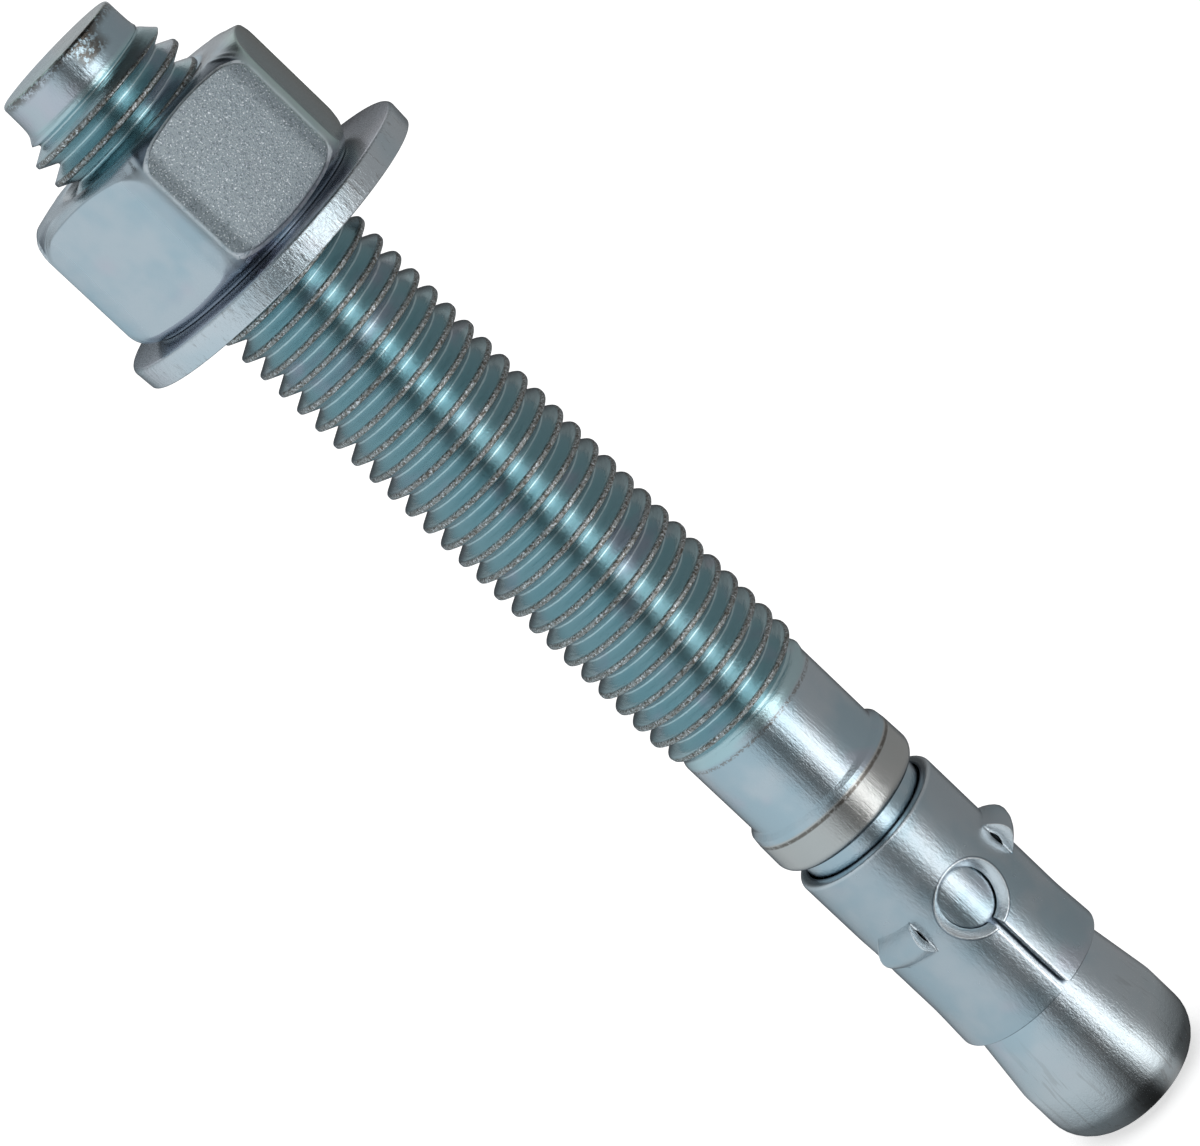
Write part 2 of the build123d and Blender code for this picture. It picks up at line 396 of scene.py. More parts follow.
washer = {
    "columns": 160,
    "outerRadius": 18.5,
    "boreRadius": 10.5,
    "lean": 0.3,  # lean beyond the solid washer's, towards +X
    "topRound": 0.55,
    "bottomRound": 0.25,
    "rimTaper": -0.15,  # added to the rim's radius at the bottom
    "boreRound": 0.2,
}
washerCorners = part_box("flat_washer")
washerCentre = [(washerCorners[0][axis] + washerCorners[1][axis]) / 2 / mm for axis in (0, 1)]
washerCentre[0] += washer["lean"]


def makeWasher():
    # a rounded outline of the ring's section, turned round the washer's own axis
    azimuths = np.linspace(0, 2 * pi, washer["columns"] + 1)
    rim, bore = washer["outerRadius"], washer["boreRadius"]
    middle = (washerLow + washerHigh) / 2
    outline = roundedOutline(
        [
            (bore, middle, 0),
            (bore, washerLow, washer["boreRound"]),
            (rim + washer["rimTaper"], washerLow, washer["bottomRound"]),
            (rim, washerHigh, washer["topRound"]),
            (bore, washerHigh, washer["boreRound"]),
            (bore, middle, 0),
        ]
    )
    return makePiece("washerRing", [turned(outline, azimuths, washerCentre)])


washerRing = makeWasher()
print("washer", len(washerRing.data.polygons), "faces")


clip = {
    "outerRadius": 9.3,
    "boreRadius": 8.05,
    "seatRadius": 8.323,  # bore at the bottom, on the cone
    "flareHeight": 6.0,
    "flareLead": 1.0,  # the outside's flare curve starts this far below the clip
    "topRise": 0.15,
    "topRound": 0.5,
    "bottomRound": 0.3,
    "slotAzimuth": -77.8,
    "slotHalfWidth": 0.45,
    "slotFoot": 0.7,  # rounding of the slot's two corners at the bottom edge
    "holeTurns": (0, 240),  # the two gaps that end in a hole, in degrees from the front slot
    "holeRadius": 4.15,
    "holeTaper": 0.65,  # how much smaller the hole is inside
    "taperReach": (0.05, 1.8),  # outside the hole, how far its points are drawn in
    "holeHeight": 32.15,
    "bridgeHeight": 1.9,
    "bridgeLow": 30.55,
    "bridgeHigh": 35.15,
    "bridgePeak": 0.56,  # where along its height the bridge stands out most
    "bridgePowers": (1.05, 0.8),  # below the peak and above it; a smaller power is a fuller curve
    "innerLift": 0.84,  # the bridge's inside rises less, so it is thicker than the wall
    "bridgeShift": 4.5,
    "bridgeHalfAngle": 14.5,
    "edgeBevel": 0.15,
    "bevelAngle": 50,
    "weldDistance": 0.002,
    # grid rows as distances from the two ends and the hole, and columns as shares of a leaf's side
    "bottomRows": (0, 0.05, 0.12, 0.22, 0.35, 0.5, 0.7, 1.0, 1.5),
    "topRows": (1.5, 1.1, 0.8, 0.55, 0.4, 0.28, 0.18, 0.1, 0.04, 0),
    "flareStart": 2.2,
    "rowGap": 0.5,
    "topGap": 0.6,
    "flareRows": 12,
    "holeRows": 27,
    "aboveRows": 8,
    "sideShares": (0, 0.05, 0.11, 0.18, 0.27, 0.37, 0.48, 0.6, 0.72, 0.83, 0.92, 1),
    "bridgeColumns": 15,
}
clipTop = clipHigh + clip["topRise"]


def clipRows():
    # heights of the grid's rows: close together round the hole, the bridge and the two ends
    hole = clip["holeHeight"] + clip["holeRadius"] * np.cos(np.linspace(pi, 0, clip["holeRows"]))
    bottom = clipLow + np.array(clip["bottomRows"])
    flare = np.linspace(clipLow + clip["flareStart"], hole[0] - clip["rowGap"], clip["flareRows"])
    top = clipTop - np.array(clip["topRows"])
    above = np.linspace(hole[-1] + clip["rowGap"], top[0] - clip["topGap"], clip["aboveRows"])
    rows = np.concatenate([bottom, flare, hole, above, top])
    # the bridge's two ends get rows of their own
    for end in (clip["bridgeLow"], clip["bridgeHigh"]):
        rows[np.argmin(np.abs(rows - end))] = end
    return np.sort(rows)


def clipOuter(heights):
    # outer radius: flared at the bottom to follow the cone, rounded at both ends
    flare = 1 - smoothStep(clipLow - clip["flareLead"], clipLow + clip["flareHeight"], heights)
    radius = clip["outerRadius"] + (clip["seatRadius"] - clip["boreRadius"]) * flare
    for end, rounding in ((clipTop, clip["topRound"]), (clipLow, clip["bottomRound"])):
        radius = radius - rounding * arcDrop(np.clip(1 - np.abs(heights - end) / rounding, 0, 1))
    return radius


def clipInner(heights):
    # inner radius: a cone from the seat radius at the bottom to the bore
    share = np.clip((clipLow + clip["flareHeight"] - heights) / clip["flareHeight"], 0, 1)
    return clip["boreRadius"] + (clip["seatRadius"] - clip["boreRadius"]) * share


def leafEdge(heights, hasHole):
    # half width of the gap beside a leaf: a slot with a rounded foot, and either a round hole with
    # nothing above it or the same rounding at the top
    foot = np.clip(1 - (heights - clipLow) / clip["slotFoot"], 0, 1)
    gap = clip["slotHalfWidth"] + clip["slotFoot"] * arcDrop(foot)
    if not hasHole:
        top = np.clip(1 - (clipTop - heights) / clip["slotFoot"], 0, 1)
        return gap + clip["slotFoot"] * arcDrop(top)
    fromHole = heights - clip["holeHeight"]
    arc = np.sqrt(np.maximum(clip["holeRadius"] ** 2 - fromHole**2, 0))
    return np.where(fromHole < 0, np.maximum(gap, arc), arc)


def bridgeRise(heights):
    # how far the pressed bridge stands out: a quarter sine wave up to its peak and a fuller one above
    share = np.clip((heights - clip["bridgeLow"]) / (clip["bridgeHigh"] - clip["bridgeLow"]), 0, 1)
    peak, (lowPower, highPower) = clip["bridgePeak"], clip["bridgePowers"]
    below = np.sin(np.clip(share / peak, 0, 1) * pi / 2) ** lowPower
    above = np.sin(np.clip((1 - share) / (1 - peak), 0, 1) * pi / 2) ** highPower
    return clip["bridgeHeight"] * np.where(share < peak, below, above)


def narrowedInside(angles, heights):
    # the two holes are smaller inside: points near each rim move towards its centre by the taper,
    # fading out over its reach
    near, far = (clip["holeRadius"] + reach for reach in clip["taperReach"])
    for turn in clip["holeTurns"]:
        centre = radians(clip["slotAzimuth"] + turn)
        across = (np.mod(angles - centre + pi, 2 * pi) - pi) * clip["outerRadius"]
        along = heights - clip["holeHeight"]
        distance = np.sqrt(across**2 + along**2) + 1e-9  # never quite 0, because it divides
        move = clip["holeTaper"] * (1 - smoothStep(near, far, distance))
        angles = angles - across * move / distance / clip["outerRadius"]
        heights = heights - along * move / distance
    return angles, heights


def leafPatches(rows, leaf, outer):
    # the patches of one leaf as angles from its slot, rows and whether they are the raised bridge: two
    # sides that reach from the gaps to the window, and a strip below, above and across the window
    leafAngle, window = radians(120), radians(clip["bridgeHalfAngle"])
    centre = leafAngle / 2 + radians(clip["bridgeShift"])
    side = np.array(clip["sideShares"])
    # the seam, the one gap without a hole, is after the first leaf
    left = np.arcsin(leafEdge(rows, hasHole=leaf != 1) / outer)[:, None]
    right = leafAngle - np.arcsin(leafEdge(rows, hasHole=leaf != 0) / outer)[:, None]
    strip = centre + window * np.linspace(-1, 1, clip["bridgeColumns"]) + 0 * rows[:, None]
    inWindow = np.where((rows >= clip["bridgeLow"]) & (rows <= clip["bridgeHigh"]))[0]
    return [
        (left + (centre - window - left) * side, slice(None), 0),
        (centre + window + (right - centre - window) * (1 - side[::-1]), slice(None), 0),
        (strip, slice(0, inWindow[0] + 1), 0),
        (strip, slice(inWindow[-1], None), 0),
        (strip, slice(inWindow[0], inWindow[-1] + 1), 1),
    ]


def makeClip():
    # every patch is laid out twice, on the outer radius plus the bridge's rise and on the inner one
    rows = clipRows()
    outer, inner = clipOuter(rows), clipInner(rows)
    outerGrids, innerGrids = [], []
    for leaf in range(3):
        start = radians(clip["slotAzimuth"] + 120 * leaf)
        for patchAngles, part, bridge in leafPatches(rows, leaf, outer):
            angles = start + patchAngles[part]
            heights = rows[part, None] + 0 * angles
            rise = bridge * bridgeRise(rows[part])[:, None]
            outerGrids.append(around(outer[part, None] + rise, angles, heights))
            innerRadius = inner[part, None] + rise * clip["innerLift"]
            innerGrids.append(around(innerRadius, *narrowedInside(angles, heights)))
    return walledPiece("expansionClip", outerGrids, innerGrids)


def walledPiece(name, outerGrids, innerGrids):
    # an outer and an inner surface of the same layout, closed by quads along every free edge
    outerPoints, faces = joinedGrids(outerGrids)
    innerPoints, _ = joinedGrids(innerGrids)
    # points that coincide on the outer surface share one number, so that only real edges stay free
    keys = np.round(outerPoints / clip["weldDistance"]).astype(np.int64)
    _, first, shared = np.unique(keys, axis=0, return_index=True, return_inverse=True)
    faces = shared.reshape(-1)[faces]
    outerPoints, innerPoints = outerPoints[first], innerPoints[first]
    count = len(outerPoints)
    edges = np.stack([faces, np.roll(faces, -1, axis=1)], axis=-1).reshape(-1, 2)
    edges = edges[edges[:, 0] != edges[:, 1]]
    _, index, uses = np.unique(np.sort(edges, axis=1), axis=0, return_index=True, return_counts=True)
    free = edges[index[uses == 1]]
    rims = np.stack([free[:, 1], free[:, 0], free[:, 0] + count, free[:, 1] + count], axis=-1)
    allFaces = np.concatenate([faces, faces[:, ::-1] + count, rims])
    # a corner that was shared twice is dropped, and a face with fewer than three goes
    clean = [list(dict.fromkeys(face)) for face in allFaces.tolist()]
    clean = [face for face in clean if len(face) > 2]
    mesh = newMesh(name, np.concatenate([outerPoints, innerPoints]), clean)
    mesh.polygons.foreach_set("use_smooth", [True] * len(mesh.polygons))
    return newObject(name, mesh)


def bevelEdges(piece, width, limit, segments=2):
    # a live bevel on every edge sharper than the limit, in degrees
    bevel = piece.modifiers.new("edgeBevel", "BEVEL")
    bevel.width, bevel.segments = width * mm, segments
    bevel.limit_method, bevel.angle_limit = "ANGLE", radians(limit)
    bevel.use_clamp_overlap = True
    bevel.miter_outer = "MITER_ARC"


expansionClip = makeClip()
bevelEdges(expansionClip, clip["edgeBevel"], clip["bevelAngle"])
print("clip", len(expansionClip.data.polygons), "faces")


class Value:
    # wraps a socket, so that an expression on values adds its Math nodes

    def __init__(self, socket):
        self.socket = socket

    def __add__(self, other):
        return maths("ADD", self, other)

    def __sub__(self, other):
        return maths("SUBTRACT", self, other)

    def __rsub__(self, other):
        return maths("SUBTRACT", other, self)

    def __mul__(self, other):
        return maths("MULTIPLY", self, other)

    def __pow__(self, other):
        return maths("POWER", self, other)

    __radd__ = __add__
    __rmul__ = __mul__

    def out(self, name):
        # another output of the same node
        return Value(self.socket.node.outputs[name])


def addNode(tree, kind, settings, *values, **named):
    # adds one node: settings first, then values or links by place or by name
    node = tree.nodes.new(kind)
    for key, setting in settings.items():
        setattr(node, key, setting)
    inputs = [(node.inputs[place], value) for place, value in enumerate(values)]
    inputs += [(node.inputs[name.replace("_", " ")], value) for name, value in named.items()]
    for socket, value in inputs:
        if isinstance(value, Value):
            tree.links.new(value.socket, socket)
        elif value is not None:
            socket.default_value = value
    return Value(node.outputs[0]) if node.outputs else None


def treeOf(*values):
    # the node tree that the first linked value belongs to
    return next(value.socket.id_data for value in values if isinstance(value, Value))


def maths(operation, *values):
    # one Math node
    return addNode(treeOf(*values), "ShaderNodeMath", {"operation": operation}, *values)


def clamped(value, low, high):
    # 0 below low, 1 above high, smooth between them
    settings = {"interpolation_type": "SMOOTHSTEP"}
    return addNode(treeOf(value), "ShaderNodeMapRange", settings, value, low, high, 0.0, 1.0)


def band(value, low, high, blur):
    # 1 between low and high, 0 outside
    return clamped(value, low - blur, low + blur) * (1 - clamped(value, high - blur, high + blur))


def noise(place, scale, detail, roughness, stretch=None):
    # cloudy values round 0.5; stretch first multiplies the place's x, y and z
    tree = treeOf(place)
    if stretch:
        place = addNode(tree, "ShaderNodeMapping", {}, Vector=place, Scale=stretch)
    pattern = {"Scale": scale, "Detail": detail, "Roughness": roughness}
    return addNode(tree, "ShaderNodeTexNoise", {}, Vector=place, **pattern)


def mixColour(factor, first, second):
    # first where the factor is 0, second where it is 1; the Mix node has its two colours after five
    # sockets for other kinds of value, and the mixed colour at its third output
    tree, skipped = treeOf(factor, first, second), [None] * 5
    mix = addNode(tree, "ShaderNodeMix", {"data_type": "RGBA"}, factor, *skipped, first, second)
    return Value(mix.socket.node.outputs[2])


def newMaterial(name):
    # an empty material and its node tree
    material = bpy.data.materials.new(name)
    material.use_nodes = True
    material.node_tree.nodes.clear()
    return material, material.node_tree


# the colours of zinc plate: clean, tinted, worn and stained, and the dark and bright colours that paint
# shade and highlights
plate = {
    "base": (0.60, 0.66, 0.70, 1),
    "cool": (0.48, 0.60, 0.66, 1),
    "satin": (0.60, 0.57, 0.53, 1),
    "pink": (0.64, 0.57, 0.65, 1),
    "gold": (0.70, 0.66, 0.50, 1),
    "ash": (0.33, 0.34, 0.32, 1),
    "dull": (0.27, 0.25, 0.23, 1),
    "brown": (0.14, 0.12, 0.10, 1),
    "teal": (0.52, 0.73, 0.75, 1),
    "deepTeal": (0.10, 0.20, 0.25, 1),
    "deepBlue": (0.03, 0.10, 0.17, 1),
    "navy": (0.05, 0.08, 0.12, 1),
    "green": (0.66, 0.84, 0.76, 1),
    "bright": (0.90, 0.93, 0.95, 1),
    "sand": (0.30, 0.34, 0.36, 1),
    "slate": (0.13, 0.16, 0.18, 1),
    "grey": (0.60, 0.63, 0.64, 1),
}

# In this dictionary and the pieces' own: a stain, painted shade or painted highlight is a share and a
# colour of the plate; a pattern is a noise's scale, detail, roughness and stretch; limits are where a mask
# goes from 0 to 1, bands are where it starts, ends and how far it blurs; reliefs are heights in
# millimetres.
zincLook = {
    "tintPattern": (0.11, 3.0, 0.5),
    "tintLimits": (0.42, 0.62),
    "pinkPattern": (0.16, 2.0, 0.5),
    "pinkOffset": (31.0, 7.0, 3.0),
    "pinkLimits": (0.58, 0.76),
    "pinkStain": (0.35, "pink"),
    "grainPattern": (3.4, 3.0, 0.7),
    "grainRelief": 0.026,
    "smoothest": 0.13,
    "roughPattern": (0.7, 3.0, 0.5),
    "roughSpan": 0.09,
    "facingLimits": (0.70, 0.97),
    "facingShade": (0.85, "navy"),
    "upwards": (0.6, 0.9),  # limits of the normal's height for faces that look up
    "slotAhead": (5.0, 6.0),  # limits that keep a mask on the slot's own side
}


class Finish:
    # one zinc finish: object coordinates in millimetres, and the values that the pieces change

    def __init__(self, name, look):
        self.material, self.tree = newMaterial(name)
        self.look = {**zincLook, **look}
        coordinates = addNode(self.tree, "ShaderNodeTexCoord", {})
        raw = coordinates.out("Object")
        self.place = self.vectorMaths("SCALE", raw, Scale=1 / mm)
        split = addNode(self.tree, "ShaderNodeSeparateXYZ", {}, self.place)
        self.x, self.y, self.z = split.out("X"), split.out("Y"), split.out("Z")
        self.up = addNode(self.tree, "ShaderNodeSeparateXYZ", {}, coordinates.out("Normal")).out("Z")
        self.radius = (self.x * self.x + self.y * self.y) ** 0.5
        self.colour = mixColour(self.cloud("tint"), plate["base"], plate["cool"])
        moved = self.vectorMaths("ADD", self.place, self.look["pinkOffset"])
        pink = clamped(noise(moved, *self.look["pinkPattern"]), *self.look["pinkLimits"])
        self.stainOrPaintedLight(pink, "pinkStain")
        self.grain = self.pattern("grainPattern")
        self.roughness = self.look["smoothest"] + self.pattern("roughPattern") * self.look["roughSpan"]
        self.relief = self.grain * self.look["grainRelief"]

    def vectorMaths(self, operation, *values, **named):
        # one Vector Math node
        settings = {"operation": operation}
        return addNode(self.tree, "ShaderNodeVectorMath", settings, *values, **named)

    def pattern(self, key):
        # the noise of that name in the look
        return noise(self.place, *self.look[key])

    def cloud(self, name):
        # 0 to 1 where the named pattern passes its limits
        return clamped(self.pattern(name + "Pattern"), *self.look[name + "Limits"])

    def stainOrPaintedLight(self, mask, key):
        # the colour of a stain, painted shade or painted highlight where the mask is 1, by its share
        share, colour = self.look[key]
        self.colour = mixColour(mask * share, self.colour, plate[colour])

    def roughen(self, mask, key):
        # rougher by the named amount where the mask is 1
        self.roughness = self.roughness + mask * self.look[key]

    def emboss(self, shape, key):
        # the shape stands out by the named relief
        self.relief = self.relief + shape * self.look[key]

    def besideSlot(self, turn):
        # from the slot at this turn: distance to its middle plane, 1 on its own side of the stud, and
        # distance to the middle line of its hole
        slotTurn = radians(clip["slotAzimuth"] + turn)
        across = self.y * cos(slotTurn) - self.x * sin(slotTurn)
        ahead = clamped(self.x * cos(slotTurn) + self.y * sin(slotTurn), *self.look["slotAhead"])
        rise = self.z - clip["holeHeight"]
        return maths("ABSOLUTE", across), ahead, (across * across + rise * rise) ** 0.5

    def finish(self):
        # painted shade: every edge turned away darkens, and the relief bends the normal
        facing = addNode(self.tree, "ShaderNodeLayerWeight", {}, Blend=0.5).out("Facing")
        self.stainOrPaintedLight(clamped(facing, *self.look["facingLimits"]), "facingShade")
        bump = addNode(self.tree, "ShaderNodeBump", {}, Height=self.relief * mm, Strength=1.0, Distance=1.0)
        changing = {"Base_Color": self.colour, "Roughness": self.roughness, "Normal": bump}
        shader = addNode(self.tree, "ShaderNodeBsdfPrincipled", {}, Metallic=1.0, **changing)
        addNode(self.tree, "ShaderNodeOutputMaterial", {}, Surface=shader)
        return self.material


studLook = {
    "threadBand": (stud["threadBase"] + 0.3, stud["threadTop"] - 0.6, 0.3),
    "flankLimits": (thread["major"] - 0.22, thread["major"] - 0.02),
    "flankStain": (0.7, "teal"),
    "undersideLimits": (0.25, 0.7),
    "undersideShade": (0.35, "deepTeal"),
    "patchPattern": (1.0, 2.0, 0.5, (0.12, 0.12, 0.3)),
    "patchLimits": (0.55, 0.70),
    "patchStain": (0.45, "pink"),
    "crestLimits": (thread["major"] - 0.38, thread["major"] - 0.16),
    "crestStain": (0.8, "ash"),
    "specklePattern": (3.6, 2.0, 0.7),
    "speckleLimits": (0.46, 0.58),
    "speckleStain": (0.95, "brown"),
    "dotPattern": (4.6, 1.0, 0.5),
    "dotLimits": (0.57, 0.68),
    "crestGlintHighlight": (0.9, "bright"),
    "crestRoughness": 0.22,
    "crestRelief": 0.09,
    "ringPattern": (1.0, 2.0, 0.7, (0.35, 0.35, 6.0)),
    "ringRelief": 0.040,
    "drawnPattern": (1.0, 3.0, 0.7, (2.8, 2.8, 0.07)),
    "drawnRelief": 0.022,
    "pittedPattern": (2.4, 3.0, 0.7),
    "pittedRelief": 0.020,
    "startBand": (stud["threadBase"] - 0.25, stud["threadBase"] + 0.15, 0.12),
    "startLimits": (0.42, 0.56),
    "startStain": (0.8, "dull"),
    "collarBand": (stud["collarBase"] + 0.1, stud["bandTop"] + 0.5, 0.15),
    "collarRoughness": 0.05,
    "collarStain": (0.8, "satin"),
    "shoulderBand": (stud["bandTop"] - 0.05, stud["bandTop"] + 0.32, 0.1),
    "shoulderPattern": (2.0, 3.0, 0.7),
    "shoulderLimits": (0.3, 0.5),
    "shoulderBrownLine": (0.85, "brown"),
    "underCollarLimits": (stud["collarBase"] + 0.1, stud["collarBase"] + 1.3),
    "onCollarLimits": (stud["collarBase"] - 0.1, stud["collarBase"] + 0.02),
    "underCollarShade": (0.6, "navy"),
    "slotBand": (clipLow, clip["holeHeight"] - clip["holeRadius"], 0.3),
    "slotFrom": (0.08, 0.30),
    "slotTo": (0.8, 1.2),
    "slotPaintedLight": (0.9, "navy"),
    "holeFrom": (-0.55, 0.0),  # from the hole's inner rim
    "holeTo": (0.6, 1.2),
    "holeShade": (0.85, "navy"),
    "tipLimits": (6.0, 20.0),
    "tipStain": (0.75, "grey"),
    "footLimits": (0.2, 3.4),
    "footDarkening": (0.6, "brown"),
    "scratchPattern": (1.0, 2.0, 0.8, (1.2, 1.2, 0.04)),
    "scratchLimits": (0.56, 0.66),
    "scratchStain": (0.30, "dull"),
    "endLimits": (studHigh - 0.6, studHigh - 0.3),
    "endStain": (1.0, "green"),
    "scorchPattern": (1.6, 4.0, 0.75),
    "scorchRelief": 0.05,
    "rimHeights": (studHigh - 1.2, studHigh - 0.3),
    "rimRadii": (6.0, 7.2),
    "rimLimits": (0.40, 0.54),
    "rimStain": (0.8, "brown"),
    "markBand": (1.0, 4.4, 0.8),  # along X
    "markDepths": (-5.5, -3.0),  # along Y
    "markHeights": (studHigh - 3.0, studHigh - 2.2),
    "markLimits": (0.42, 0.52),
    "markStain": (0.9, "brown"),
}


def studFinish():
    # every stain, painted shade and painted highlight is a mask times its share; masks are products of
    # bands and limits of place or noise
    finish = Finish("studZinc", studLook)
    look = finish.look
    inThread = band(finish.z, *look["threadBand"])
    plain = 1 - inThread
    # teal flanks, with painted shade where they face down, and pink patches
    flank = 1 - clamped(finish.radius, *look["flankLimits"])
    finish.stainOrPaintedLight(inThread * flank, "flankStain")
    underside = clamped(0 - finish.up, *look["undersideLimits"])
    finish.stainOrPaintedLight(inThread * underside, "undersideShade")
    finish.stainOrPaintedLight(inThread * finish.cloud("patch"), "patchStain")
    # rough speckled crests, where the rolling dies press no metal, with bright dots of painted glint
    crest = clamped(finish.radius, *look["crestLimits"]) * inThread
    speckle = finish.pattern("specklePattern")
    finish.stainOrPaintedLight(crest, "crestStain")
    finish.stainOrPaintedLight(crest * clamped(speckle, *look["speckleLimits"]), "speckleStain")
    finish.stainOrPaintedLight(crest * finish.cloud("dot"), "crestGlintHighlight")
    finish.roughen(crest, "crestRoughness")
    finish.emboss(crest * speckle, "crestRelief")
    # fine rings along the thread, from the rolling dies
    finish.emboss(finish.pattern("ringPattern") * inThread * (1 - crest), "ringRelief")
    # drawing lines and pits along the plain lengths
    for wear in ("drawn", "pitted"):
        finish.emboss(finish.pattern(wear + "Pattern") * plain, wear + "Relief")
    # a rough line where the thread ends on the shank
    start = band(finish.z, *look["startBand"])
    finish.stainOrPaintedLight(start * clamped(finish.grain, *look["startLimits"]), "startStain")
    # the collar's band is satin with a warm tint, with a brown line along its top edge and painted shade
    # along its bottom edge
    collar = band(finish.z, *look["collarBand"])
    finish.roughen(collar, "collarRoughness")
    finish.stainOrPaintedLight(collar, "collarStain")
    shoulder = band(finish.z, *look["shoulderBand"])
    finish.stainOrPaintedLight(shoulder * finish.cloud("shoulder"), "shoulderBrownLine")
    under = 1 - clamped(finish.z, *look["underCollarLimits"])
    finish.stainOrPaintedLight(under * clamped(finish.z, *look["onCollarLimits"]), "underCollarShade")
    # painted shade on the neck along both sides of the clip's slots, and round the inside of the holes
    innerRadius = clip["holeRadius"] - clip["holeTaper"]
    holeFrom, holeTo = ([innerRadius + reach for reach in look[key]] for key in ("holeFrom", "holeTo"))
    for turn in clip["holeTurns"]:
        aside, ahead, fromHole = finish.besideSlot(turn)
        lines = clamped(aside, *look["slotFrom"]) * (1 - clamped(aside, *look["slotTo"])) * ahead
        finish.stainOrPaintedLight(lines * band(finish.z, *look["slotBand"]), "slotPaintedLight")
        ring = clamped(fromHole, *holeFrom) * (1 - clamped(fromHole, *holeTo))
        finish.stainOrPaintedLight(ring * ahead, "holeShade")
    # the tip is greyer, darker brown towards its foot, with longer scratches
    tip = 1 - clamped(finish.z, *look["tipLimits"])
    finish.stainOrPaintedLight(tip, "tipStain")
    finish.stainOrPaintedLight(1 - clamped(finish.z, *look["footLimits"]), "footDarkening")
    finish.stainOrPaintedLight(tip * finish.cloud("scratch"), "scratchStain")
    # the end face is pale green, its rim scorched, with a brown mark on the side
    end = clamped(finish.up, *look["upwards"]) * clamped(finish.z, *look["endLimits"])
    finish.stainOrPaintedLight(end, "endStain")
    scorch = finish.pattern("scorchPattern")
    rim = clamped(finish.z, *look["rimHeights"]) * clamped(finish.radius, *look["rimRadii"])
    front = 1 - clamped(finish.y, *look["markDepths"])
    mark = band(finish.x, *look["markBand"]) * front * clamped(finish.z, *look["markHeights"])
    finish.stainOrPaintedLight(rim * clamped(scorch, *look["rimLimits"]), "rimStain")
    finish.stainOrPaintedLight(mark * clamped(scorch, *look["markLimits"]), "markStain")
    finish.emboss((rim + mark) * scorch, "scorchRelief")
    return finish.finish()


flatPlane = nut["acrossFlats"] / 2
nutLook = {
    "choiceLimits": (0.02, 0.12),
    "flatLimits": (flatPlane - 0.10, flatPlane - 0.03),
    "sandyPaintedReflection": (0.9, "sand"),
    "sandyRoughness": 0.24,
    "sandyGrain": 0.3,  # how much of the plate's own grain a sandy flat loses
    "pitPattern": (4.5, 3.0, 0.7),
    "pitLimits": (0.50, 0.64),
    "pitPaintedReflection": (0.7, "slate"),
    "pitRelief": 0.05,
    "glintPattern": (6.0, 1.0, 0.5),
    "glintLimits": (0.60, 0.72),
    "glintPaintedHighlight": (0.7, "bright"),
    "uprightRadii": (15.0, 15.5),
    "uprightRoughness": 0.28,
    "wornBand": (flatPlane - 0.42, flatPlane - 0.09, 0.06),
    "wornPattern": (1.8, 3.0, 0.7),
    "wornLimits": (0.34, 0.50),
    "wornAndHighlight": (1.0, "bright"),
    "wornRoughness": 0.4,
    "bevelLimits": (flatPlane - 0.50, flatPlane - 0.36),
    "bevelRadii": (12.2, 12.9),
    "bevelHeights": (nutHigh - 4.0, nutHigh - 3.0),
    "bevelShade": (0.8, "navy"),
    "greenLimits": (11.3, 13.4),
    "greenStain": (0.8, "green"),
    "goldLimits": (13.6, 14.8),
    "goldStain": (0.8, "gold"),
}


def nutFinish():
    # the plane of a flat is where radius * cos(turn from the flat's middle) is half the width
    finish = Finish("nutZinc", nutLook)
    look = finish.look
    azimuth = maths("ARCTAN2", finish.y, finish.x)
    middle = nut["cornerAzimuth"] + 30
    # three of the six flats are sandy: every other one, where cos(3 * turn) is high
    choice = clamped(maths("COSINE", (azimuth - radians(middle)) * 3), *look["choiceLimits"])
    turn = maths("PINGPONG", azimuth - radians(middle - 360), radians(30))
    plane = finish.radius * maths("COSINE", turn)
    sandy = clamped(plane, *look["flatLimits"]) * choice
    pits = finish.pattern("pitPattern")
    # painted reflection: the sand tone, dark pits and bright glints stand for the light a grained flat
    # catches; its roughness and pits in the relief are real grain
    finish.stainOrPaintedLight(sandy, "sandyPaintedReflection")
    finish.stainOrPaintedLight(sandy * clamped(pits, *look["pitLimits"]), "pitPaintedReflection")
    finish.stainOrPaintedLight(sandy * finish.cloud("glint"), "glintPaintedHighlight")
    finish.roughen(sandy, "sandyRoughness")
    finish.relief = finish.relief * (1 - sandy * look["sandyGrain"])
    finish.emboss(pits * sandy, "pitRelief")
    # the upright edges are rubbed soft
    upright = clamped(finish.radius, *look["uprightRadii"])
    finish.roughen(upright, "uprightRoughness")
    # bright lines along the edges of the sandy flats, partly wear and partly painted highlight
    worn = band(plane, *look["wornBand"]) * choice
    finish.stainOrPaintedLight(worn * finish.cloud("worn"), "wornAndHighlight")
    finish.roughen(worn, "wornRoughness")
    # painted shade on the bevel above them
    above = (1 - clamped(plane, *look["bevelLimits"])) * choice
    near = clamped(finish.radius, *look["bevelRadii"]) * clamped(finish.z, *look["bevelHeights"])
    finish.stainOrPaintedLight(above * near, "bevelShade")
    # the plate turns green and gold towards +X
    for tint in ("green", "gold"):
        finish.stainOrPaintedLight(clamped(finish.x, *look[tint + "Limits"]), tint + "Stain")
    return finish.finish()


